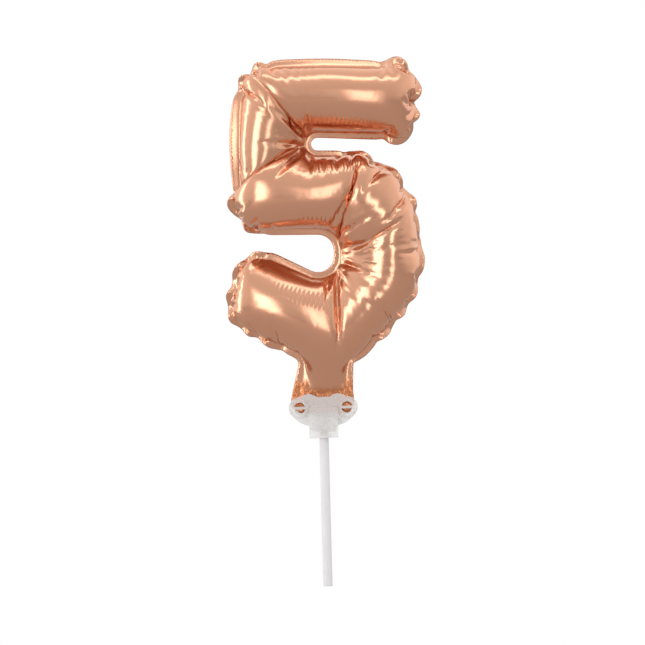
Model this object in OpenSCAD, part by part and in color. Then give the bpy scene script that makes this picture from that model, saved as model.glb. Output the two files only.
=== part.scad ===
// Number balloon: an inflated foil digit whose tail is gripped by a folding clip on a hollow stick.
// The stick stands on Z with its lower end at the origin, and the digit faces -Y.

/* [Stick] */
// Outside diameter of the stick
stick_d = 4; // [3:0.1:6]
// Diameter of the stick's hollow
stick_bore_d = 2.6; // [1:0.1:2.8]
// Length of stick that shows below the clip
stick_show = 63.8; // [30:0.1:300]
// Outside diameter of the swaged end that stands in the clip's socket
spigot_d = 3.6; // [2.9:0.1:5.9]

/* [Clip] */
// Radial clearance between the stick's swaged end and its socket
socket_clear = 0.05; // [0.02:0.01:0.1]
// Depth of the socket that the stick stands in
socket_depth = 8.2; // [6:0.1:16]
// Diameter of the socket's wide mouth
mouth_d = 6.4; // [6:0.1:8]
// Wall round the socket
socket_wall = 1.25; // [0.8:0.05:2]
// Width of the foot block under the leaves
foot_w = 12.4; // [10:0.1:18]
// Height of the foot block
foot_h = 4; // [3:0.1:7]
// Width of each oval leaf
leaf_w = 29.6; // [26:0.1:44]
// Height of each leaf above the foot block
leaf_h = 14.6; // [13:0.1:24]
// Wall of a leaf
leaf_wall = 1.2; // [0.8:0.1:2]
// Distance between the two round bosses
boss_pitch = 20.4; // [18:0.1:30]
// Outside diameter of a boss
boss_d = 7.6; // [6.6:0.1:9]
// Diameter of the hole in a boss
boss_hole_d = 4.8; // [4:0.1:5.4]
// Width of the bar that crosses each boss hole
boss_bar = 1.2; // [0.8:0.1:1.6]
// Diameter of the studs that press the foil into the boss holes
stud_d = 3.2; // [2:0.1:3.4]
// Thickness of the bending strips that hold the leaves
strip_t = 0.3; // [0.2:0.05:0.5]

/* [Foil] */
// Wall of each foil film
film_t = 0.3; // [0.2:0.05:0.5]
// Wall of each valve film
valve_t = 0.15; // [0.1:0.05:0.2]
// Width of the valve inside the neck
valve_w = 10; // [6:0.1:12]
// Length of the valve above the clip
valve_l = 26; // [18:0.5:40]
// Width of the flat sealed border outside the weld line
seam_w = 3.2; // [2:0.1:4.5]
// Width of the neck between its weld lines
neck_w = 18; // [15:0.1:24]
// Length of the neck below the digit
neck_l = 16.5; // [10:0.5:30]
// Distance from the neck's middle to the stick's axis
neck_shift = 2.2; // [0:0.1:4]
// Width of the tail at its wide lower end
tail_w = 28.4; // [20:0.1:32]

/* [Digit] */
// Height of the digit's upper weld line above the clip
digit_h = 141; // [125:1:220]
// Distance from the neck's middle to the stem's outer weld line
stem_x = 40; // [36:0.5:60]
// Width of the stem
stem_w = 29.5; // [24:0.5:36]
// Distance from the neck's middle to the top bar's tip
bar_tip = 37; // [28:0.5:60]
// Height of the top bar
bar_h = 31; // [24:0.5:40]
// Radius of the gap under the top bar
gap_r = 5.25; // [4.5:0.05:9]
// Height of the middle bar
waist_h = 30; // [22:0.5:36]
// Radius of the bay at the left of the bowl
bay_r = 10.2; // [7:0.1:13]
// Rise of the bay's lower edge towards its mouth
bay_rise = 29; // [10:1:35]
// Distance from the neck's middle to the toe's upper corner, where the bay opens
toe_x = 29; // [24:0.5:40]
// Distance from the neck's middle to the bowl's right weld line
bowl_x = 41; // [36:0.5:60]
// Width of the bowl at its right side
bowl_w = 35; // [28:0.5:44]
// Radius of the bowl's upper right corner
bowl_r = 34; // [24:0.5:36]
// Radius of the bowl's lower right corner
bowl_low_r = 30; // [20:0.5:34]
// Half of the digit's thickness when it is full
puff = 16.5; // [8:0.5:18]
// Lean of the digit on its stick
digit_lean = 1.5; // [-4:0.1:4]

/* [Hidden] */
$fn = 64;

// Heights on the stick's axis
clip_z = stick_show;
foot_top = clip_z + foot_h;
socket_top = clip_z + socket_depth;
socket_r = spigot_d / 2 + socket_clear;
mouth_h = 1.2;
sleeve_r = socket_r + socket_wall;
sleeve_top = socket_top + 1;
fold_gap = 0.3;
leaf_z = foot_top + fold_gap;
clip_top = leaf_z + leaf_h;

// Depths from the middle plane
tail_y = valve_t + film_t;
leaf_y = tail_y + 0.1;
hood_clear = 0.25;
hood_r = sleeve_r + hood_clear;
hood_y = hood_r + 0.9;
boss_y = leaf_y + leaf_wall + 1.4;
strip_w = foot_w - 2.4;
strip_h = 1.2;
belly_h = 6.6;
belly_w = leaf_w / 2 - 1.8;
hump_r = 5.2;

// The two bosses
boss_z = clip_top - 5.9;
boss_xs = [-boss_pitch / 2, boss_pitch / 2];
stud_reach = 0.2;
stud_room = 0.9;

// The tail between the leaves and the neck above them
tail_foot = sleeve_top + 1;
tail_top = clip_top + 0.2;
bend_gap = 0.7;
hem = 0.5;
foot_z = tail_top + bend_gap + hem;

// Middle of the gap and of the bay, and the lines that join them
bar_z = digit_h - bar_h;
gap_z = bar_z - gap_r;
gap_x = -stem_x + stem_w + gap_r;
waist_z = gap_z - gap_r;
bay_top = waist_z - waist_h;
bay_z = bay_top - bay_r;
bay_x = bowl_x - bowl_w - bay_r;
corner_r = 9;
heel = 9;
mouth_x = -stem_x + 6;
bay_end = -90 - bay_rise;
bay_low = [bay_x, bay_z] + bay_r * [cos(bay_end), sin(bay_end)];
toe_top = [-toe_x, bay_low.y + (bay_low.x + toe_x) * tan(bay_rise)];
toe = toe_top - [11, 29];
neck_a = -acos(max(-0.35, min(0.2, (1 - neck_w / 2 - bay_x) / bay_r)));
bowl_c = [bowl_x - bowl_r, waist_z - bowl_r];
low_z = min(bowl_c.y, neck_l + bowl_low_r + 8);
low_c = [bowl_x - bowl_low_r, low_z];
across = 10;
wall_d = 16;

function line(p, q, n) = [for (i = [0 : n - 1]) p + (q - p) * i / n];
function arc(c, r, from, to, n) =
    [for (i = [0 : n - 1]) let (a = from + (to - from) * i / n) c + r * [cos(a), sin(a)]];
function unit(v) = v / norm(v);
function right_of(v) = unit([v.y, -v.x]);
function mid(p, q, u) = p + (q - p) * u;

// Weld line from the bar's tip over the stem and round the bay
outer_rail = concat(
    line([bar_tip, digit_h], [gap_x, digit_h], 12),
    line([gap_x, digit_h], [corner_r - stem_x, digit_h], 5),
    arc([corner_r - stem_x, digit_h - corner_r], corner_r, 90, 180, 4),
    line([-stem_x, digit_h - corner_r], [-stem_x, bay_top + heel], 9),
    line([-stem_x, bay_top + heel], [mouth_x, bay_top], 3),
    line([mouth_x, bay_top], [bay_x, bay_top], 5),
    arc([bay_x, bay_z], bay_r, 90, 10, 8),
    arc([bay_x, bay_z], bay_r, 10, -15, 2),
    arc([bay_x, bay_z], bay_r, -15, -60, 7),
    arc([bay_x, bay_z], bay_r, -60, -72, 4),
    arc([bay_x, bay_z], bay_r, -72, neck_a + 10, 4),
    arc([bay_x, bay_z], bay_r, neck_a + 10, neck_a, 4),
    arc([bay_x, bay_z], bay_r, neck_a, bay_end, 2),
    line(bay_low, toe_top, 7),
    [toe_top]
);

// Weld line from the bar's tip round the gap, the bowl and the neck, matched to the other step by step
inner_rail = concat(
    line([bar_tip - 1, bar_z], [gap_x, bar_z], 12),
    arc([gap_x, gap_z], gap_r, 90, 270, 18),
    line([gap_x, waist_z], [gap_x + 3, waist_z], 3),
    line([gap_x + 3, waist_z], [bowl_c.x, waist_z], 5),
    arc(bowl_c, bowl_r, 90, 0, 8),
    line([bowl_x, bowl_c.y], [bowl_x, low_c.y], 2),
    arc(low_c, bowl_low_r, 0, -45, 4),
    line(low_c + bowl_low_r * [cos(-45), sin(-45)], [neck_w / 2, neck_l], 3),
    line([neck_w / 2, neck_l], [neck_w / 2, 0], 4),
    line([neck_w / 2, 0], [-neck_w / 2, 0], 4),
    line([-neck_w / 2, 0], [-neck_w / 2, neck_l], 4),
    line([-neck_w / 2, neck_l], toe, 9),
    [toe]
);
steps = len(outer_rail) - 1;

// Closed weld line without the neck's open foot, which bounds the inflated height
seal = [for (i = [0 : steps]) each [
    if (i < steps) [outer_rail[i], outer_rail[i + 1]],
    if (i < steps && inner_rail[i].y + inner_rail[i + 1].y > 0.1) [inner_rail[i], inner_rail[i + 1]]
]];
caps = [[outer_rail[0], inner_rail[0]], [outer_rail[steps], inner_rail[steps]]];

function reach(p, s) =
    let (d = s[1] - s[0], l = d * d, u = l == 0 ? 0 : max(0, min(1, (p - s[0]) * d / l)))
    norm(p - s[0] - u * d);
function smooth(u) = let (v = max(0, min(1, u))) v * v * (3 - 2 * v);
// The neck is pressed flat at the clip and opens towards the bowl
function press(z) = 0.04 + 0.96 * smooth(z / (neck_l + 16));
function height(p) =
    let (d = min([for (s = concat(seal, caps)) reach(p, s)]), u = 1 - min(1, d / wall_d))
    puff * pow(max(0, 1 - u * u), 0.7) * press(p.y);

// One row of points across the digit, from border to border
function at_foot(p) = p.y < 0.1;
function out_from_neck(p) = [abs(p.x) > neck_w / 2 - 0.1 ? sign(p.x) * seam_w : 0, -hem];
function row_at(i) =
    let (a = outer_rail[i], b = inner_rail[i],
         before = max(i - 1, 0), after = min(i + 1, steps),
         out_a = seam_w * right_of(outer_rail[after] - outer_rail[before]),
         out_b = -seam_w * right_of(inner_rail[after] - inner_rail[before]))
    concat(
        [a + out_a],
        [for (j = [0 : across]) mid(a, b, (1 - cos(180 * j / across)) / 2)],
        [b + (at_foot(b) ? out_from_neck(b) : out_b)]
    );
rows = [for (i = [0 : steps]) row_at(i)];
function pushed(row, next) =
    let (d = unit((row[1] + row[across + 1]) - (next[1] + next[across + 1]))) [for (p = row) p + seam_w * d];
sheet = concat([pushed(rows[0], rows[1])], rows, [pushed(rows[steps], rows[steps - 1])]);
row_n = across + 3;
last = len(sheet) - 1;
function on_border(i, j) = i == 0 || i == last || j == 0 || (j == row_n - 1 && !at_foot(sheet[i][j]));
heights = [for (i = [0 : last]) [for (j = [0 : row_n - 1])
    on_border(i, j) ? 0 : height([sheet[i][j].x, max(0, sheet[i][j].y)])]];

module film() {
    skin = [for (i = [0 : last]) for (j = [0 : row_n - 1]) [sheet[i][j].x, -heights[i][j] - film_t, sheet[i][j].y]];
    lining = [for (i = [0 : last]) for (j = [0 : row_n - 1]) [sheet[i][j].x, -heights[i][j], sheet[i][j].y]];
    n = len(skin);
    rim = concat(
        [for (j = [0 : row_n - 1]) j],
        [for (i = [1 : last]) i * row_n + row_n - 1],
        [for (j = [row_n - 2 : -1 : 0]) last * row_n + j],
        [for (i = [last - 1 : -1 : 1]) i * row_n]
    );
    faces = concat(
        [for (i = [0 : last - 1]) for (j = [0 : row_n - 2]) let (k = i * row_n + j)
            each [[k, k + 1, k + row_n], [k + 1, k + row_n + 1, k + row_n]]],
        [for (i = [0 : last - 1]) for (j = [0 : row_n - 2]) let (k = n + i * row_n + j)
            each [[k, k + row_n, k + 1], [k + 1, k + row_n, k + row_n + 1]]],
        [for (m = [0 : len(rim) - 1]) let (a = rim[m], b = rim[(m + 1) % len(rim)])
            each [[a, a + n, b], [b, a + n, b + n]]]
    );
    polyhedron(concat(skin, lining), faces);
}

// Puts the digit on its neck, leaning on the stick
module on_neck() {
    translate([neck_shift, 0, foot_z]) rotate([0, digit_lean, 0]) children();
}

// Draws a flat outline in X and Z, from one depth in front of the middle plane to another
module slab(y0, y1) {
    translate([0, -y0, 0]) rotate([90, 0, 0]) linear_extrude(y1 - y0) children();
}

module behind() {
    mirror([0, 1, 0]) children();
}

module stick() {
    color("whitesmoke") difference() {
        union() {
            cylinder(h = stick_show, r = stick_d / 2);
            cylinder(h = socket_top, r = spigot_d / 2);
        }
        translate([0, 0, -1]) cylinder(h = socket_top + 2, r = stick_bore_d / 2);
    }
}

module clip_foot() {
    color("gainsboro") difference() {
        union() {
            translate([-foot_w / 2, -hood_y, clip_z]) cube([foot_w, 2 * hood_y, foot_h]);
            translate([0, 0, clip_z]) cylinder(h = sleeve_top - clip_z, r = sleeve_r);
        }
        translate([0, 0, clip_z - 1]) cylinder(h = socket_depth + 1, r = socket_r);
        translate([0, 0, clip_z - 1]) cylinder(h = mouth_h + 1, r = mouth_d / 2);
    }
}

module leaf_outline() {
    hull() {
        for (x = boss_xs) translate([x, boss_z]) circle(r = leaf_w / 2 - boss_pitch / 2);
        translate([0, leaf_z + belly_h]) scale([belly_w / belly_h, 1]) circle(r = belly_h);
    }
    for (x = boss_xs) translate([x * 0.62, clip_top - hump_r]) circle(r = hump_r);
}

module leaf() {
    difference() {
        union() {
            slab(leaf_y, leaf_y + leaf_wall) leaf_outline();
            slab(leaf_y, hood_y) translate([-foot_w / 2, leaf_z])
                square([foot_w, sleeve_top - leaf_z + 4]);
            for (x = boss_xs) translate([x, -leaf_y, boss_z]) rotate([90, 0, 0])
                cylinder(h = boss_y - leaf_y, r = boss_d / 2);
        }
        translate([0, 0, leaf_z - 1]) cylinder(h = sleeve_top + 0.4 - leaf_z + 1, r = hood_r);
    }
}

module boss_holes() {
    for (x = boss_xs) translate([x, 0, boss_z]) rotate([90, 0, 0])
        cylinder(h = boss_y + 1, r = boss_hole_d / 2);
}

module front_leaf() {
    color("gainsboro") {
        difference() {
            leaf();
            boss_holes();
        }
        for (x = boss_xs) slab(boss_y - 0.8, boss_y) translate([x, boss_z])
            square([boss_hole_d, boss_bar], center = true);
    }
}

module back_leaf() {
    color("gainsboro") {
        behind() leaf();
        for (x = boss_xs) translate([x, leaf_y, boss_z]) rotate([90, 0, 0])
            cylinder(h = 2 * leaf_y + stud_reach, r = stud_d / 2);
    }
}

// The root of a bending strip, which ends at the line that the leaf folds about
module strip() {
    slab(hood_y, hood_y + strip_t) translate([-strip_w / 2, foot_top - strip_h])
        square([strip_w, strip_h]);
}

module front_strip() {
    color("silver") strip();
}

module back_strip() {
    color("silver") behind() strip();
}

// The flat end of one film, with round openings where the studs press it into the bosses
module tail() {
    neck_half = neck_w / 2 + seam_w / 2;
    slab(valve_t, tail_y) difference() {
        polygon([
            [neck_shift - neck_half, tail_top],
            [-tail_w / 2 + 0.6, tail_top - 4],
            [-tail_w / 2, tail_foot],
            [tail_w / 2, tail_foot],
            [tail_w / 2 - 0.6, tail_top - 4],
            [neck_shift + neck_half, tail_top]
        ]);
        for (x = boss_xs) translate([x, boss_z]) circle(r = stud_d / 2 + stud_room);
    }
}

module front_tail() {
    color("peru") tail();
}

module back_tail() {
    color("peru") behind() tail();
}

module front_film() {
    color("lightsalmon") on_neck() film();
}

module back_film() {
    color("darksalmon") behind() on_neck() film();
}

// One film of the self-sealing valve, flat in the middle of the neck
module valve() {
    slab(0, valve_t) translate([-valve_w / 2, 0]) square([valve_w, valve_l]);
}

module front_valve() {
    color("linen") on_neck() valve();
}

module back_valve() {
    color("linen") behind() on_neck() valve();
}

stick();
clip_foot();
front_leaf();
back_leaf();
front_strip();
back_strip();
front_tail();
back_tail();
front_film();
back_film();
front_valve();
back_valve();
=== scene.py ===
import bisect
import math

import bmesh
import bpy
import mathutils
from mathutils import Matrix, Vector, noise


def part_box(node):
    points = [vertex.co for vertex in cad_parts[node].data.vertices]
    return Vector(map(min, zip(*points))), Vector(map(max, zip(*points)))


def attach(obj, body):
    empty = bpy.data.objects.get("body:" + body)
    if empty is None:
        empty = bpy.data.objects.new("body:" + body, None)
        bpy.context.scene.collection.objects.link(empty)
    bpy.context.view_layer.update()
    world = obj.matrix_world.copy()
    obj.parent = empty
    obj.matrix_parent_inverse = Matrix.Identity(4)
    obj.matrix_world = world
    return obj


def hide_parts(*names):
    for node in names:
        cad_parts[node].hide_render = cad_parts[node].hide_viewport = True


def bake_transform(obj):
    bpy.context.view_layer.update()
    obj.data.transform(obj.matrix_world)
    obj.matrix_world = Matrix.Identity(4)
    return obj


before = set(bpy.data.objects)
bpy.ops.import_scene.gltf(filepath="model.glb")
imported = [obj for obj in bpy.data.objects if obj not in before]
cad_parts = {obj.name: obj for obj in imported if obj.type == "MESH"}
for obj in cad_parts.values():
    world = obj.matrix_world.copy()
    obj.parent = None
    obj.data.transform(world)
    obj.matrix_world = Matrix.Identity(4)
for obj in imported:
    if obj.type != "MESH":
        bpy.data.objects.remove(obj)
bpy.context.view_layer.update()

scene = bpy.context.scene
mm = 0.001
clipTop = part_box("front_leaf")[1][2] / mm


# The digit's film. Lengths are in millimetres in the digit's own upright frame, from the neck's foot

digit = {
    "footX": 2.2,                    # the neck's middle, from the stick's axis
    "footRise": 1.4,                 # the neck's foot above the clip's top
    "lean": 1.5,                     # degrees that the digit leans
    "edge": 1.5,                     # mesh size of the film
    "border": 3.6,                   # width of the sealed border in the flat cut
    "borderRows": 2,
    "bowlLobe": 0.15,                # the same round the bowl
    "lobeMost": 0.3,                 # most that a pucker stands out, as a share of its length
    "lobeSpan": 20.0,                # longest stretch between two pinches that is a pucker
    "pinch": 0.6,                    # how far a pinch draws the weld line in
    "pinchReach": 1.4,
    "sway": 0.3,                     # how far puckers go to and fro, as a share of their height
    "borderTwist": 0.5,              # radians that the border turns along a pucker
    "squeeze": 0.85,                # share of the cut length that the held weld line keeps
    "straightKeep": 1.03,            # cut length of a straight stretch, as a share of its held length
    "flatGap": 0.28,                 # half of the gap between the films in the clip
    "pressed": 0.4,                  # height up to which the clip holds the film flat
    "wall": 0.1,                     # thickness of the visible film
}

# name: inflated corner and its radius, corner of the flat cut and its radius,
# then the weld line's depth there, and the width and backward tilt of its border
corners = {
    "topLeft": ((-37.2, 138.4), 18, (-49.5, 155.5), 23, -4.0, 3.2, 0.3),
    "topMiddle": ((-2.0, 138.4), 0, (-2.5, 155.5), 0, -5.5, 4.4, 0.5),
    "topRight": ((35.4, 138.4), 8, (42.0, 155.5), 10, -2.0, 3.2, 0.5),
    "tip": ((34.0, 110.8), 4, (41.0, 114.5), 8, 1.5, 3.4, 0.5),
    "gapTop": ((-9.8, 111.4), 5.39, (-13.0, 114.5), 2.5, 1.5, 2.6, 0.0),
    "gapFoot": ((-9.8, 100.6), 5.39, (-13.0, 109.3), 2.5, 1.0, 2.6, 0.0),
    "bowlTop": ((37.0, 100.2), 35, (53.0, 109.3), 47, 2.0, 3.2, 0.4),
    "bowlFoot": ((37.0, 42.4), 30, (53.0, 32.0), 38, 2.0, 3.2, 0.4),
    "neckRight": ((14.0, 16.5), 8, (16.5, 7.5), 8, 1.0, 3.0, 0.2),
    "throatRight": ((8.0, 13.6), 4, (9.6, 6.0), 3, 0.0, 3.0, 0.0),
    "flareRight": ((7.8, 0.4), 6, (8.6, 0.4), 4, 0.0, 3.0, 0.0),
    "tailRight": ((8.6, -7.0), 0, (8.6, -7.0), 0, 0.0, 3.0, 0.0),
    "tailLeft": ((-13.0, -7.0), 0, (-13.0, -7.0), 0, 0.0, 3.0, 0.0),
    "hipLeft": ((-12.6, -3.0), 3, (-12.6, -3.0), 3, 0.0, 3.0, 0.0),
    "throatLeft": ((-8.8, 14.4), 6, (-10.0, 7.0), 4, 0.0, 3.0, 0.0),
    "toe": ((-42.6, 32.0), 10, (-50.0, 24.0), 17, 1.5, 3.4, 0.4),
    "toeTop": ((-33.6, 60.2), 10, (-39.5, 59.5), 10, -0.5, 3.4, 0.2),
    "bayFoot": ((5.6, 42.2), 9.9, (10.0, 48.5), 5.1, 0.0, 3.0, 0.0),
    "bayTop": ((5.6, 69.9), 9.9, (10.0, 59.5), 5.1, 0.0, 3.0, 0.0),
    "heelInner": ((-27.4, 69.9), 5, (-33.0, 59.5), 7, -1.0, 3.2, 0.1),
    "heel": ((-37.0, 77.0), 9, (-49.5, 70.5), 9, -3.0, 3.4, 0.3),
    "stemMiddle": ((-37.2, 107.0), 0, (-49.5, 113.0), 0, -6.5, 5.2, 0.3),
}

# Places of the weld line that stay together when the film inflates: on the inflated line, on the flat cut
anchors = [
    ((-2.0, 138.4), (-2.5, 155.5)),
    ((-15.2, 106.0), (-15.6, 111.9)),
    ((37.4, 72.0), (53.0, 70.5)),
    ((8.0, 10.0), (9.4, 5.0)),
    ((7.9, 1.0), (8.7, 1.0)),
    ((-10.6, 3.0), (-11.4, 2.0)),
    ((-9.3, 11.0), (-10.4, 6.0)),
    ((5.6, 56.0), (10.0, 54.0)),
    ((-37.2, 107.0), (-49.5, 113.0)),
]

# Pinches of the weld line, between which it stands out in puckers
pinches = [
    (-26.2, 138.4), (-32.6, 134.6), (-36.6, 128.0),
    (22.4, 138.4), (33.8, 136.6), (33.9, 124.3), (33.6, 115.4), (24.1, 111.4),
    (-36.6, 84.5), (-34.6, 75.6), (-27.5, 69.9),
    (6.9, 99.8), (18.1, 95.5), (30.1, 86.0), (37.4, 77.0), (37.4, 66.7), (37.0, 49.2),
    (32.6, 39.4), (27.5, 32.1), (20.2, 22.0),
    (-27.0, 57.6), (-33.5, 53.0), (-38.0, 43.0), (-39.2, 35.0), (-34.5, 29.5), (-27.4, 25.9), (-18.0, 20.0),
]

film = {
    "scale": 0.1,                    # one simulation unit is 10 mm
    "frames": 60,
    "quickFrames": 30,
    "move": 26,                      # frame by which the weld line has drawn in
    "quality": 8,
    "mass": 0.3,
    "stretch": 32.0,
    "bend": 0.07,
    "bendDamping": 0.5,
    "damping": 5.0,
    "air": 2.0,
    "pressure": 12.0,
    "rearFull": 3.0,                 # how far the rear film is cut fuller than flat
    "rearReach": 14.0,
    "uneven": 0.5,                   # how far from flat the films start, which seeds the creases
    "unevenPitch": 8.0,
}

toCad = Matrix.Translation((digit["footX"], 0, clipTop + digit["footRise"])) @ Matrix.Rotation(
    math.radians(digit["lean"]), 4, "Y")


def smooth(value):
    value = max(0.0, min(1.0, value))
    return value * value * (3 - 2 * value)


# A closed line with rounded corners, which knows the place of each corner's middle along it
class Outline:
    def __init__(self, points, step=0.4):
        self.points, self.middles = [], []
        for i, (place, radius) in enumerate(points):
            corner = Vector(place)
            a = (Vector(points[i - 1][0]) - corner).normalized()
            b = (Vector(points[(i + 1) % len(points)][0]) - corner).normalized()
            half = math.acos(max(-1, min(1, a.dot(b)))) / 2
            arc = [corner]
            if radius > 0 and half < math.pi / 2 - 0.001:
                centre = corner + (a + b).normalized() * radius / math.sin(half)
                start = corner + a * radius / math.tan(half) - centre
                end = corner + b * radius / math.tan(half) - centre
                turn = start.angle_signed(end)
                steps = 2 * max(1, round(abs(turn) * radius / step / 2))
                arc = [centre + Matrix.Rotation(-turn * k / steps, 2) @ start for k in range(steps + 1)]
            self.middles.append(len(self.points) + len(arc) // 2)
            self.points += arc
        self.places = [0.0]
        for i, point in enumerate(self.points):
            self.places.append(self.places[-1] + (self.points[(i + 1) % len(self.points)] - point).length)
        self.length = self.places[-1]
        self.middles = [self.places[i] for i in self.middles]

    def at(self, place):
        place %= self.length
        i = min(bisect.bisect_right(self.places, place) - 1, len(self.points) - 1)
        share = (place - self.places[i]) / max(1e-9, self.places[i + 1] - self.places[i])
        return self.points[i].lerp(self.points[(i + 1) % len(self.points)], share)

    def outward(self, place):
        along = (self.at(place + 0.5) - self.at(place - 0.5)).normalized()
        return Vector((-along.y, along.x))

    # How far apart two places are along the line, the shorter way round
    def apart(self, a, b):
        return abs((a - b + self.length / 2) % self.length - self.length / 2)

    def near(self, spot):
        spot, best = Vector(spot), None
        for i, point in enumerate(self.points):
            side = self.points[(i + 1) % len(self.points)] - point
            share = max(0, min(1, (spot - point).dot(side) / max(1e-9, side.length_squared)))
            gap = (point + side * share - spot).length
            if best is None or gap < best[0]:
                best = (gap, self.places[i] + side.length * share)
        return best[1]


flatLine = Outline([(c[2], c[3]) for c in corners.values()])
heldLine = Outline([(c[0], c[1]) for c in corners.values()])
traits = sorted((place, c[4:]) for place, c in zip(heldLine.middles, corners.values()))
pinchPlaces = sorted(heldLine.near(spot) for spot in pinches)


# Depth, border width and border tilt at a place on the inflated weld line
def traitsAt(place):
    place %= heldLine.length
    i = bisect.bisect_right([t[0] for t in traits], place) - 1
    before, after = traits[i], traits[(i + 1) % len(traits)]
    span = (after[0] - before[0]) % heldLine.length
    share = smooth(((place - before[0]) % heldLine.length) / span)
    return [a + (b - a) * share for a, b in zip(before[1], after[1])]


# One stretch of the inflated weld line between two pinches or anchors. A pucker stands out until it
# has taken up the length that the flat cut has there
class Stretch:
    def __init__(self, start, length, flatStart, flatLength, pucker):
        self.start, self.length = start, length
        self.flatStart, self.flatLength = flatStart, flatLength
        self.pucker = pucker
        middle = heldLine.at(start + length / 2)
        most = digit["bowlLobe"] if middle.x > 5 and middle.y < 101 else digit["lobeMost"]
        low, high = 0.0, most * length if pucker else 0.0
        for _ in range(12 if pucker else 1):
            self.height = (low + high) / 2
            self.trace()
            if self.lengths[-1] < flatLength * digit["squeeze"]:
                low = self.height
            else:
                high = self.height

    def trace(self):
        steps = max(8, math.ceil(self.length / 0.25))
        self.path, self.lengths = [], [0.0]
        for k in range(steps + 1):
            share = k / steps
            place = self.start + self.length * share
            depth, width, tilt = traitsAt(place)
            nearest = min(heldLine.apart(place, p) for p in pinchPlaces)
            away = self.height * math.sin(math.pi * share) ** 0.75
            away -= digit["pinch"] * math.exp(-(nearest / digit["pinchReach"]) ** 2)
            sway = self.height * digit["sway"] * math.sin(2 * math.pi * share)
            if self.pucker:
                tilt += digit["borderTwist"] * math.sin(2 * math.pi * share)
            out = heldLine.outward(place)
            middle = heldLine.at(place)
            point = Vector((middle.x + out.x * away, depth + sway, middle.y + out.y * away))
            if self.path:
                self.lengths.append(self.lengths[-1] + (point - self.path[-1][0]).length)
            self.path.append((point, out, tilt, width))

    def at(self, share):
        wanted = self.lengths[-1] * share
        i = min(bisect.bisect_right(self.lengths, wanted) - 1, len(self.lengths) - 2)
        part = (wanted - self.lengths[i]) / max(1e-9, self.lengths[i + 1] - self.lengths[i])
        return [a + (b - a) * part for a, b in zip(self.path[i], self.path[i + 1])]


# Shares out the flat cut's length between the stretches from one anchor to the next
def traceWeld():
    found = []
    pairs = sorted((heldLine.near(held), flatLine.near(flat)) for held, flat in anchors)
    for i, (start, flatStart) in enumerate(pairs):
        end, flatEnd = pairs[(i + 1) % len(pairs)]
        span = (end - start) % heldLine.length
        flatSpan = (flatEnd - flatStart) % flatLine.length
        inside = sorted((p - start) % heldLine.length for p in pinchPlaces)
        cuts = [0.0] + [p for p in inside if 0.5 < p < span - 0.5] + [span]
        lengths = [b - a for a, b in zip(cuts, cuts[1:])]
        last = len(lengths) - 1
        inner = [0 < k < last and length < digit["lobeSpan"] for k, length in enumerate(lengths)]
        plain = sum(length for length, lobe in zip(lengths, inner) if not lobe)
        lobed = span - plain
        ratio = (flatSpan - plain * digit["straightKeep"]) / lobed if lobed else 1
        keep = digit["straightKeep"] if lobed else flatSpan / span
        print("weld line from", round(start), "cut", round(flatSpan, 1), "held", round(span, 1),
              "puckers", sum(inner), "fullness", round(ratio, 2))
        run = 0.0
        for cut, length, lobe in zip(cuts, lengths, inner):
            share = length * (ratio if lobe else keep)
            found.append(Stretch(start + cut, length, flatStart + run, share, lobe))
            run += share
    return found


stretches = traceWeld()


def heldWeld(place):
    for stretch in stretches:
        run = (place - stretch.flatStart) % flatLine.length
        if run <= stretch.flatLength + 1e-6:
            return stretch.at(run / stretch.flatLength)
    return stretches[0].at(0)


# Fills the flat outline with even triangles
def meshFlat(bm, size):
    count = round(flatLine.length / size)
    places = [flatLine.length * i / count for i in range(count)]
    loop = []
    for place in places:
        point = flatLine.at(place)
        loop.append(bm.verts.new((point.x, 0, point.y)))
    edges = [bm.edges.new((loop[i], loop[(i + 1) % count])) for i in range(count)]
    bmesh.ops.triangle_fill(bm, use_beauty=True, use_dissolve=False, edges=edges, normal=(0, -1, 0))
    for step in range(60):
        spare = sorted((e for e in bm.edges if not e.is_boundary and e.calc_length() > size * 1.38),
                       key=lambda e: -e.calc_length())
        if not spare:
            break
        taken, chosen = set(), []
        for edge in spare:
            if not any(face in taken for face in edge.link_faces):
                taken.update(edge.link_faces)
                chosen.append(edge)
        bmesh.ops.subdivide_edges(bm, edges=chosen, cuts=1)
        bmesh.ops.triangulate(bm, faces=[f for f in bm.faces if len(f.verts) > 3])
        relaxMesh(bm, 2)
    relaxMesh(bm, 10)
    return places


def relaxMesh(bm, times):
    for _ in range(times):
        bmesh.ops.beautify_fill(bm, faces=bm.faces[:], edges=[e for e in bm.edges if not e.is_boundary])
        bmesh.ops.smooth_vert(bm, verts=[v for v in bm.verts if not v.is_boundary], factor=0.5,
                              use_axis_x=True, use_axis_y=True, use_axis_z=True)


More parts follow.
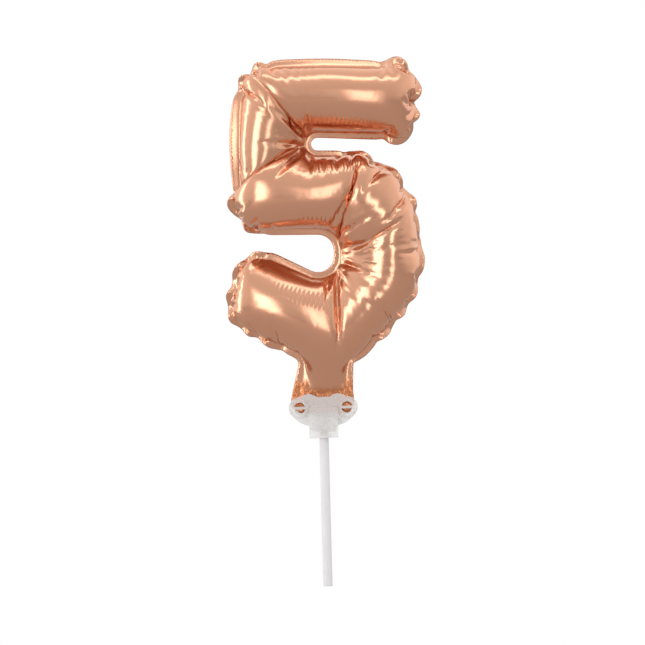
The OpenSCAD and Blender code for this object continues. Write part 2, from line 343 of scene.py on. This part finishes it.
# The two films, welded along the outline, with the sealed border outside it. Kinds of vertex are
# 0 front film, 1 back film, 2 weld line, 3 and up rows of the border
def buildFilms():
    bm = bmesh.new()
    kind = bm.verts.layers.int.new("kind")
    number = bm.verts.layers.int.new("number")
    part = bm.faces.layers.int.new("part")
    places = meshFlat(bm, digit["edge"])
    bm.verts.ensure_lookup_table()
    for i, vert in enumerate(bm.verts):
        vert[kind] = 2 if vert.is_boundary else 0
        vert[number] = i + 1 if i < len(places) else 0
    copied = bmesh.ops.duplicate(bm, geom=bm.faces[:])["geom"]
    backFaces = [g for g in copied if isinstance(g, bmesh.types.BMFace)]
    bmesh.ops.reverse_faces(bm, faces=backFaces)
    for face in backFaces:
        face[part] = 1
    for vert in (g for g in copied if isinstance(g, bmesh.types.BMVert)):
        vert[kind] = max(vert[kind], 1)
    for vert in bm.verts:
        vert.co.y = {0: -1, 1: 1}.get(vert[kind], 0) * digit["flatGap"]
    bmesh.ops.remove_doubles(bm, verts=[v for v in bm.verts if v[kind] == 2], dist=0.01)
    rim = [e for e in bm.edges if {f[part] for f in e.link_faces} == {0, 1}]
    for row in range(digit["borderRows"]):
        grown = bmesh.ops.extrude_edge_only(bm, edges=rim)["geom"]
        added = {g for g in grown if isinstance(g, bmesh.types.BMVert)}
        rim = [g for g in grown if isinstance(g, bmesh.types.BMEdge) and set(g.verts) <= added]
        for face in (g for g in grown if isinstance(g, bmesh.types.BMFace)):
            face[part] = 2
        for vert in added:
            vert[kind] = 3 + row
            place = places[vert[number] - 1]
            reach = digit["border"] * (row + 1) / digit["borderRows"]
            flat = flatLine.at(place) + flatLine.outward(place) * reach
            vert.co.x, vert.co.z = flat
    bmesh.ops.triangulate(bm, faces=[f for f in bm.faces if len(f.verts) > 3])
    bm.normal_update()
    return bm, places


def heldPlace(place, row):
    point, out, tilt, width = heldWeld(place)
    width *= row / digit["borderRows"]
    level = smooth((point.z + 3) / 8)
    tilt *= level
    reach = width * math.cos(tilt)
    return point + Vector((out.x * reach, width * math.sin(tilt), out.y * reach))


def weldSamples():
    count = round(flatLine.length / 0.1)
    places = [flatLine.length * i / count for i in range(count)]
    tree = mathutils.kdtree.KDTree(count)
    for i, place in enumerate(places):
        point = flatLine.at(place)
        tree.insert((point.x, point.y, 0), i)
    tree.balance()
    return places, tree


weldPlaces, weldTree = weldSamples()


def inflateFilms():
    bm, places = buildFilms()
    kind = bm.verts.layers.int["kind"]
    number = bm.verts.layers.int["number"]
    mesh = bpy.data.meshes.new("filmSim")
    flat, start, target, pinned = [], [], [], []
    for i, vert in enumerate(bm.verts):
        flat.append(vert.co.copy())
        begin = vert.co.copy()
        aim = vert.co.copy()
        if vert[kind] >= 2:
            aim = heldPlace(places[vert[number] - 1], vert[kind] - 2)
            pinned.append(i)
        elif vert.co.z < digit["pressed"]:
            pinned.append(i)
        else:
            spot = Vector((vert.co.x, 40.0 * vert[kind], vert.co.z)) / film["unevenPitch"]
            begin.y += film["uneven"] * noise.noise(spot)
            if vert[kind] == 1:
                _, _, inside = weldTree.find((vert.co.x, vert.co.z, 0))
                begin.y += film["rearFull"] * smooth(inside / film["rearReach"]) * smooth(vert.co.z / 30)
        start.append(begin)
        target.append(aim)
    for vert, place in zip(bm.verts, start):
        vert.co = place * film["scale"]
    kinds = [vert[kind] for vert in bm.verts]
    bm.to_mesh(mesh)
    bm.free()
    body = bpy.data.objects.new("filmSim", mesh)
    scene.collection.objects.link(body)
    press = body.vertex_groups.new(name="press")
    press.add([i for i, k in enumerate(kinds) if k < 3], 1.0, "REPLACE")
    pin = body.vertex_groups.new(name="pin")
    pin.add(pinned, 1.0, "REPLACE")
    body.shape_key_add(name="Basis")
    drawn = body.shape_key_add(name="drawn")
    drawn.data.foreach_set("co", [value * film["scale"] for place in target for value in place])
    drawn.value = 0
    drawn.keyframe_insert("value", frame=1)
    drawn.value = 1
    drawn.keyframe_insert("value", frame=film["move"])
    cloth = body.modifiers.new("inflate", "CLOTH")
    settings = cloth.settings
    settings.quality = film["quality"]
    settings.mass = film["mass"]
    settings.tension_stiffness = film["stretch"]
    settings.compression_stiffness = film["stretch"]
    settings.shear_stiffness = film["stretch"]
    settings.bending_stiffness = film["bend"]
    settings.tension_damping = film["damping"]
    settings.compression_damping = film["damping"]
    settings.shear_damping = film["damping"]
    settings.bending_damping = film["bendDamping"]
    settings.air_damping = film["air"]
    settings.use_pressure = True
    settings.uniform_pressure_force = film["pressure"]
    settings.vertex_group_pressure = "press"
    settings.vertex_group_mass = "pin"
    settings.pin_stiffness = 1
    settings.effector_weights.gravity = 0
    cloth.collision_settings.use_collision = False
    cloth.point_cache.frame_start = 1
    cloth.point_cache.frame_end = film["frames"]
    scene.frame_start, scene.frame_end = 1, film["frames"]
    for step in range(1, film["frames"] + 1):
        scene.frame_set(step)
    seen = body.evaluated_get(bpy.context.evaluated_depsgraph_get())
    result = [vert.co / film["scale"] for vert in seen.data.vertices]
    depths = [place.y for place in result]
    print("inflated the films, depth", round(min(depths), 1), round(max(depths), 1))
    body.modifiers.remove(cloth)
    body.shape_key_clear()
    bpy.data.objects.remove(body)
    return mesh, result, flat, kinds


print("films")
simMesh, inflated, flatPlaces, filmKinds = inflateFilms()
scene.frame_set(1)


# Shader maths

class Value:
    def __init__(self, shader, socket):
        self.shader, self.socket = shader, socket

    def maths(self, operation, *others):
        values = {i: other for i, other in enumerate((self,) + others)}
        return self.shader.node("Math", {"operation": operation}, values)

    def __add__(self, other):
        return self.maths("ADD", other)

    __radd__ = __add__

    def __mul__(self, other):
        return self.maths("MULTIPLY", other)

    __rmul__ = __mul__

    def __sub__(self, other):
        return self.maths("SUBTRACT", other)

    def __rsub__(self, other):
        return self.shader.node("Math", {"operation": "SUBTRACT"}, {0: other, 1: self})

    def sine(self):
        return self.maths("SINE")

    def absolute(self):
        return self.maths("ABSOLUTE")


class Shader:
    def __init__(self, name):
        self.material = bpy.data.materials.new(name)
        self.material.use_nodes = True
        self.tree = self.material.node_tree
        self.tree.nodes.clear()

    def node(self, kind, settings=None, values=None, output=0):
        made = self.tree.nodes.new("ShaderNode" + kind)
        for key, setting in (settings or {}).items():
            if key == "stops":
                while len(made.color_ramp.elements) < len(setting):
                    made.color_ramp.elements.new(0.5)
                for element, (place, colour) in zip(made.color_ramp.elements, setting):
                    element.position = place
                    element.color = (*colour, 1)
            else:
                setattr(made, key, setting)
        for key, value in (values or {}).items():
            if isinstance(value, Value):
                self.tree.links.new(value.socket, made.inputs[key])
            elif isinstance(value, tuple) and len(value) == 3 and len(made.inputs[key].default_value) == 4:
                made.inputs[key].default_value = (*value, 1)
            else:
                made.inputs[key].default_value = value
        return Value(self, made.outputs[output])

    def noise(self, scale, detail=3.0, roughness=0.5, stretch=(1, 1, 1)):
        place = self.node("TexCoord", output="Object")
        place = self.node("Mapping", {}, {"Vector": place, "Scale": stretch})
        return self.node("TexNoise", {}, {"Vector": place, "Scale": scale, "Detail": detail,
                                          "Roughness": roughness}, "Fac")

    def between(self, low, high, share):
        ends = {"From Min": 0.3, "From Max": 0.7, "To Min": low, "To Max": high, "Value": share}
        return self.node("MapRange", {}, ends)

    def blendColours(self, a, b, share):
        return self.node("Mix", {"data_type": "RGBA"}, {0: share, 6: a, 7: b}, 2)

    def bump(self, height, distance, strength=1.0, normal=None):
        values = {"Height": height, "Distance": distance, "Strength": strength}
        if normal:
            values["Normal"] = normal
        return self.node("Bump", {}, values)

    def finish(self, **values):
        named = {key.replace("_", " "): value for key, value in values.items()}
        surface = self.node("BsdfPrincipled", {}, named, "BSDF")
        self.output(surface)
        return self.material

    def output(self, surface):
        end = self.tree.nodes.new("ShaderNodeOutputMaterial")
        self.tree.links.new(surface.socket, end.inputs["Surface"])


foilLook = {
    "colour": (0.76, 0.405, 0.265),
    "warm": (0.74, 0.375, 0.24),
    "roughness": (0.17, 0.24),
    "crinkle": 0.00006,              # depth of the fine unevenness, in metres
    "grain": 0.12,                   # depth of the finest grain, as a share of the crinkle
    "crumple": 0.00035,              # depth of the crumples above the clip
    "comb": 0.00014,                 # depth of the fine pleats round the notches
    "combPitch": 0.0019,
    "gripped": (0.60, 0.235, 0.11),  # painted shade and inter-reflection: darker copper where the foil is crumpled above the clip
}

plasticLook = {
    "colour": (0.96, 0.955, 0.95),
    "alpha": 0.46,
    "roughness": (0.28, 0.42),
}


def foilMaterial(name):
    sh = Shader(name)
    cloud = sh.noise(28, 4)
    gripped = sh.node("Attribute", {"attribute_name": "gripped"}, output="Fac")
    plain = sh.blendColours(foilLook["colour"], foilLook["warm"], cloud)
    fine = sh.noise(420, 3)
    crease = sh.noise(90, 5, 0.6)
    comb = sh.node("Attribute", {"attribute_name": "comb"}, output="Fac")
    place = sh.node("UVMap", {"uv_map": "weld"})
    along = sh.node("SeparateXYZ", {}, {0: place}, "X")
    wobble = sh.noise(120, 2) * 1.5
    pleats = ((along * (2 * math.pi / foilLook["combPitch"] * 0.1) + wobble).sine()) * comb
    crumple = sh.noise(600, 3, 0.5) * gripped * foilLook["crumple"]
    height = crumple + pleats * foilLook["comb"] + crease * foilLook["crinkle"]
    height = height + fine * (foilLook["crinkle"] * foilLook["grain"])
    # the held foil above the clip is painted a darker copper: painted shade and inter-reflection between
    # the clip's leaves
    return sh.finish(Base_Color=sh.blendColours(plain, foilLook["gripped"], gripped),
                     Metallic=1.0, Roughness=sh.between(*foilLook["roughness"], cloud),
                     Normal=sh.bump(height, 1.0))


def plasticMaterial(name, alpha, colour, roughness, grain):
    sh = Shader(name)
    cloud = sh.noise(160, 4)
    speck = sh.noise(1400, 2)
    shade = tuple(c * 0.93 for c in colour)
    return sh.finish(Base_Color=sh.blendColours(colour, shade, cloud),
                     Roughness=sh.between(*roughness, cloud),
                     Alpha=sh.between(alpha * 0.92, min(1, alpha * 1.08), speck),
                     Normal=sh.bump(speck + cloud * 2, grain), Subsurface_Weight=0.25,
                     Subsurface_Radius=(0.002, 0.002, 0.002))


def stickMaterial(name):
    sh = Shader(name)
    draw = sh.noise(900, 3, 0.6, (1, 1, 0.02))
    cloud = sh.noise(60, 3)
    return sh.finish(Base_Color=sh.blendColours((0.86, 0.865, 0.88), (0.80, 0.805, 0.83), cloud),
                     Roughness=sh.between(0.28, 0.4, draw), Normal=sh.bump(draw, 0.00002),
                     Subsurface_Weight=0.2, Subsurface_Radius=(0.003, 0.003, 0.003))


foilFront = foilMaterial("roseFoilFront")
foilBack = foilMaterial("roseFoilBack")
clipPlastic = plasticMaterial("milkyClip", plasticLook["alpha"], plasticLook["colour"],
                              plasticLook["roughness"], 0.00002)
valveFilm = plasticMaterial("valveFilm", 0.55, (0.86, 0.84, 0.82), (0.2, 0.3), 0.00001)
stickPlastic = stickMaterial("drawnStick")


# The two films

# Straight creases that run out from the notches' ends: from, to, and depth
creases = [
    ((-11.6, 110.6), (-25.6, 121.9), 1.5),
    ((-8.2, 112.0), (-9.6, 121.6), 0.9),
    ((-11.4, 105.2), (-30.5, 105.6), 1.3),
    ((-11.2, 101.8), (-24.0, 89.6), 1.5),
    ((-1.5, 98.8), (-3.0, 90.0), 0.7),
    ((1.6, 70.4), (10.8, 86.4), 1.5),
    ((5.4, 66.6), (20.4, 76.4), 1.2),
    ((6.9, 61.4), (24.0, 63.8), 1.3),
    ((6.7, 54.6), (23.2, 48.1), 1.3),
    ((4.6, 49.4), (13.4, 38.0), 0.9),
    ((-0.4, 46.2), (0.8, 33.0), 1.2),
]
creaseLook = {
    "width": 0.95,
    "lead": 0.1,                     # how far a crease starts before its first point, as a share of it
    "leadRamp": 0.22,
    "taper": 0.8,
    "ridge": 0.4,                    # height of the ridges beside it, as a share of its depth
    "ridgeApart": 1.9,               # their distance, in widths
}


# Where the back leaf's studs press the two films into the front leaf's holes
dimples = {
    "side": 10.2,                    # from the stick's axis to each stud
    "down": 5.9,                     # below the clip's top
    "reach": 3.4,                    # how far round each stud the films are made finer
    "edge": 2.35,
    "ramp": 0.6,
    "depths": (-0.95, -0.88),        # where the front and the rear film lie on a stud
}


def pressStuds(bm, side):
    for x in (-dimples["side"], dimples["side"]):
        centre = Vector((x, clipTop - dimples["down"])) * mm
        for step in range(2):
            around = {v for v in bm.verts if (v.co.xz - centre).length < dimples["reach"] * mm}
            near = [e for e in bm.edges if around.issuperset(e.verts)]
            bmesh.ops.subdivide_edges(bm, edges=near, cuts=1)
            bmesh.ops.triangulate(bm, faces=[f for f in bm.faces if len(f.verts) > 3])
        for vert in bm.verts:
            press = smooth((dimples["edge"] - (vert.co.xz - centre).length / mm) / dimples["ramp"])
            vert.co.y += (dimples["depths"][side] * mm - vert.co.y) * press


# How far a place on the film is drawn in by the creases
def creased(place):
    total = 0.0
    for start, end, depth in creases:
        line = Vector(end) - Vector(start)
        offset = Vector((place.x, place.z)) - Vector(start)
        share = offset.dot(line) / line.length_squared
        if -creaseLook["lead"] < share < 1:
            apart = abs(offset.x * line.y - offset.y * line.x) / line.length / creaseLook["width"]
            along = smooth((share + creaseLook["lead"]) / creaseLook["leadRamp"])
            along *= (1 - share) ** creaseLook["taper"]
            ridges = creaseLook["ridge"] * math.exp(-(apart - creaseLook["ridgeApart"]) ** 2)
            total += depth * along * (math.exp(-apart ** 2) - ridges)
    return total


comb = {
    "ends": [(-13.0, 111.9), (10.0, 54.0)],      # ends of the notches in the flat cut
    "span": 36.0,                              # how far along the weld line the pleats go from each
    "fade": 10.0,
    "near": 10.0,                              # how far from the weld line they lie
    "far": 17.5,
    "soft": 2.5,
}


# The crumpled foil above the clip, with its painted shade and inter-reflection, which goes higher at the
# neck's sides
grip = {
    "rise": 1.9,
    "ragged": 1.6,
    "pitch": 2.5,
    "seed": 40.0,
    "middle": -1.0,
    "sideFrom": 6.5,
    "sideRamp": 3.0,
    "sideRise": 3.2,
    "fade": 2.0,
}


def filmPiece(name, back, nodes, material):
    bm = bmesh.new()
    bm.from_mesh(simMesh)
    part = bm.faces.layers.int["part"]
    kind = bm.verts.layers.int["kind"]
    weld = bm.loops.layers.uv.new("weld")
    amount = bm.verts.layers.float.new("comb")
    ends = [flatLine.near(end) for end in comb["ends"]]
    # mask of the crumpled foil above the clip, which also places its painted shade
    gripped = bm.verts.layers.float.new("gripped")
    drawn = bm.verts.layers.float.new("drawn")
    about = {}
    for vert, flat, place in zip(bm.verts, flatPlaces, inflated):
        _, index, distance = weldTree.find((flat.x, flat.z, 0))
        run = weldPlaces[index]
        along = min(flatLine.apart(run, end) for end in ends)
        mask = smooth((distance - comb["near"]) / comb["soft"])
        mask *= smooth((comb["far"] - distance) / comb["soft"])
        vert[amount] = mask * smooth((comb["span"] - along) / comb["fade"])
        about[vert] = (run * mm * 10, distance * mm * 10)
        vert.co = toCad @ place * mm
        ragged = grip["ragged"] * noise.noise(Vector((place.x, place.y, grip["seed"])) / grip["pitch"])
        side = smooth((abs(place.x - grip["middle"]) - grip["sideFrom"]) / grip["sideRamp"])
        reach = grip["rise"] + ragged + grip["sideRise"] * side
        vert[gripped] = smooth((reach - place.z) / grip["fade"])
        vert[drawn] = creased(place) if vert[kind] < 2 else 0.0
    bmesh.ops.delete(bm, geom=[f for f in bm.faces if f[part] == 1 - back], context="FACES")
    for face in bm.faces:
        for loop in face.loops:
            loop[weld].uv = about[loop.vert]
    pressStuds(bm, back)
    bmesh.ops.recalc_face_normals(bm, faces=bm.faces[:])
    facing = sum(f.normal.y * f.calc_area() for f in bm.faces)
    if (facing > 0) != (back == 1):
        bmesh.ops.reverse_faces(bm, faces=bm.faces[:])
    bm.normal_update()
    moves = [(vert, vert.normal * -vert[drawn] * mm) for vert in bm.verts]
    for vert, move in moves:
        vert.co += move
    mesh = bpy.data.meshes.new(name)
    bm.to_mesh(mesh)
    bm.free()
    mesh.shade_smooth()
    mesh.materials.append(material)
    piece = bpy.data.objects.new(name, mesh)
    scene.collection.objects.link(piece)
    fine = piece.modifiers.new("fine", "SUBSURF")
    fine.levels = fine.render_levels = 1
    wall = piece.modifiers.new("wall", "SOLIDIFY")
    wall.thickness = digit["wall"] * mm
    wall.offset = 1
    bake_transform(piece)
    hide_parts(*nodes)
    return piece


filmPiece("frontFoil", 0, ("front_film", "front_tail"), foilFront)
filmPiece("backFoil", 1, ("back_film", "back_tail"), foilBack)
bpy.data.meshes.remove(simMesh)
print("split the films")


# Clip and stick

clip = {
    "bevel": 0.22,
    "bevelSegments": 3,
    "stickBevel": 0.12,
    "stripWidth": 10.0,
    "stripFoot": 1.2,                # how far the bending strip lies on the foot and on the leaf
    "stripRows": 8,
    "stripWall": 0.3,
}


# A CAD piece with softened edges
def moulded(name, node, body, material, width):
    bm = bmesh.new()
    bm.from_mesh(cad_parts[node].data)
    bmesh.ops.remove_doubles(bm, verts=bm.verts[:], dist=0.000001)
    bmesh.ops.dissolve_limit(bm, angle_limit=math.radians(1), verts=bm.verts[:], edges=bm.edges[:])
    mesh = bpy.data.meshes.new(name)
    bm.to_mesh(mesh)
    bm.free()
    mesh.shade_smooth()
    mesh.set_sharp_from_angle(angle=math.radians(32))
    mesh.materials.append(material)
    piece = bpy.data.objects.new(name, mesh)
    scene.collection.objects.link(piece)
    bevel = piece.modifiers.new("bevel", "BEVEL")
    bevel.width = width * mm
    bevel.segments = clip["bevelSegments"]
    bevel.profile = 0.5
    bevel.limit_method = "ANGLE"
    bevel.angle_limit = math.radians(32)
    bevel.harden_normals = True
    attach(piece, body)
    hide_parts(node)
    return piece


# A thin flat moulded strip at the place where the leaf folds
def bendingStrip(name, node, leaf, side):
    low, high = [Vector(corner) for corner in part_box(node)]
    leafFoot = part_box(leaf)[0][2]
    bottom = low.z
    top = leafFoot + clip["stripFoot"] * mm
    face = side * max(abs(low.y), abs(high.y)) - side * clip["stripWall"] * mm
    bm = bmesh.new()
    across = bmesh.ops.create_grid(bm, x_segments=6, y_segments=clip["stripRows"], size=0.5)["verts"]
    width = clip["stripWidth"] * mm
    for vert in across:
        vert.co = Vector((vert.co.x * width, face, bottom + (vert.co.y + 0.5) * (top - bottom)))
    bmesh.ops.recalc_face_normals(bm, faces=bm.faces[:])
    if (bm.faces[:][0].normal.y > 0) != (side > 0):
        bmesh.ops.reverse_faces(bm, faces=bm.faces[:])
    mesh = bpy.data.meshes.new(name)
    bm.to_mesh(mesh)
    bm.free()
    mesh.shade_smooth()
    mesh.materials.append(clipPlastic)
    piece = bpy.data.objects.new(name, mesh)
    scene.collection.objects.link(piece)
    wall = piece.modifiers.new("wall", "SOLIDIFY")
    wall.thickness = clip["stripWall"] * mm
    wall.offset = 1
    bevel = piece.modifiers.new("bevel", "BEVEL")
    bevel.width = 0.08 * mm
    bevel.segments = 2
    bevel.limit_method = "ANGLE"
    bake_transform(piece)
    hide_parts(node)
    return piece


moulded("stickTube", "stick", "stick", stickPlastic, clip["stickBevel"])
moulded("clipFoot", "clip_foot", "clip", clipPlastic, clip["bevel"])
moulded("frontLeaf", "front_leaf", "front_leaf", clipPlastic, clip["bevel"])
moulded("backLeaf", "back_leaf", "back_leaf", clipPlastic, clip["bevel"])
bendingStrip("frontStrip", "front_strip", "front_leaf", -1)
bendingStrip("backStrip", "back_strip", "back_leaf", 1)
for node in ("front_valve", "back_valve"):
    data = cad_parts[node].data
    data.materials.clear()
    data.materials.append(valveFilm)
print("made the clip and the stick")


# Studio

studio = {
    "camera": (0.68, -1100.0, 113.3),    # millimetres
    "roll": 1.54,
    "frameWidth": 277.4,                 # width of the picture at the object
    "floor": 4000.0,
}

camera = bpy.data.objects.new("camera", bpy.data.cameras.new("camera"))
scene.collection.objects.link(camera)
scene.camera = camera
camera.location = Vector(studio["camera"]) * mm
camera.rotation_euler = (Matrix.Rotation(math.pi / 2, 3, "X") @ Matrix.Rotation(
    -math.radians(studio["roll"]), 3, "Z")).to_euler()
camera.data.lens = camera.data.sensor_width * -studio["camera"][1] / studio["frameWidth"]
camera.data.clip_end = 50


def softbox(name, place, width, height, power, aim=(0, 0, 150)):
    light = bpy.data.lights.new(name, "AREA")
    light.shape = "RECTANGLE"
    light.size, light.size_y = width * mm, height * mm
    light.energy = power
    made = bpy.data.objects.new(name, light)
    scene.collection.objects.link(made)
    made.location = Vector(place) * mm
    made.visible_camera = False
    made.rotation_euler = (Vector(place) - Vector(aim)).to_track_quat("Z", "Y").to_euler()
    return made


softbox("leftBox", (-440, -790, 150), 360, 760, 2.3)
softbox("rightBox", (235, -880, 150), 150, 760, 0.9)
softbox("farLeftBox", (-820, 60, 150), 200, 760, 1.4)
softbox("topBox", (0, -250, 900), 900, 160, 0.9)

bm = bmesh.new()
bmesh.ops.create_grid(bm, x_segments=1, y_segments=1, size=studio["floor"] * mm / 2)
floorMesh = bpy.data.meshes.new("studioFloor")
bm.to_mesh(floorMesh)
bm.free()
floorShader = Shader("paleFloor")
lit = floorShader.node("BsdfDiffuse", {}, {"Color": (0.5, 0.48, 0.47)})
plain = floorShader.node("Emission", {}, {"Color": (1, 1, 1), "Strength": 1.0})
shown = floorShader.node("LightPath", output="Is Camera Ray")
floorShader.output(floorShader.node("MixShader", {}, {0: shown, 1: lit, 2: plain}))
floorMesh.materials.append(floorShader.material)
floor = bpy.data.objects.new("studioFloor", floorMesh)
scene.collection.objects.link(floor)

# The room is white where the camera sees it, and brighter above and at the sides than in front
class Room(Shader):
    def __init__(self, name):
        self.material = bpy.data.worlds.new(name)
        self.material.use_nodes = True
        self.tree = self.material.node_tree
        self.tree.nodes.clear()

    def output(self, surface):
        end = self.tree.nodes.new("ShaderNodeOutputWorld")
        self.tree.links.new(surface.socket, end.inputs["Surface"])


room = Room("studio")
direction = room.node("TexCoord", output="Generated")
rise = room.node("SeparateXYZ", {}, {0: direction}, "Z")
side = room.node("SeparateXYZ", {}, {0: direction}, "X").absolute()
depth = room.node("SeparateXYZ", {}, {0: direction}, "Y")
above = room.node("MapRange", {"interpolation_type": "SMOOTHSTEP"},
                  {"Value": rise, "From Min": -0.35, "From Max": 0.95, "To Min": 0.54, "To Max": 0.86})
beside = room.node("MapRange", {"interpolation_type": "SMOOTHSTEP"},
                   {"Value": side, "From Min": 0.45, "From Max": 1.0, "To Min": 0.0, "To Max": 0.3})
behind = room.node("MapRange", {"interpolation_type": "SMOOTHSTEP"},
                   {"Value": depth, "From Min": -0.2, "From Max": 0.8, "To Min": 0.0, "To Max": 0.35})
tint = room.node("Background", {}, {"Color": (1.0, 0.985, 0.965), "Strength": above + beside + behind})
white = room.node("Background", {}, {"Color": (1, 1, 1)})
shown = room.node("LightPath", output="Is Camera Ray")
room.output(room.node("MixShader", {}, {0: shown, 1: tint, 2: white}))
scene.world = room.material
scene.view_settings.view_transform = "Standard"
print("lit the studio")
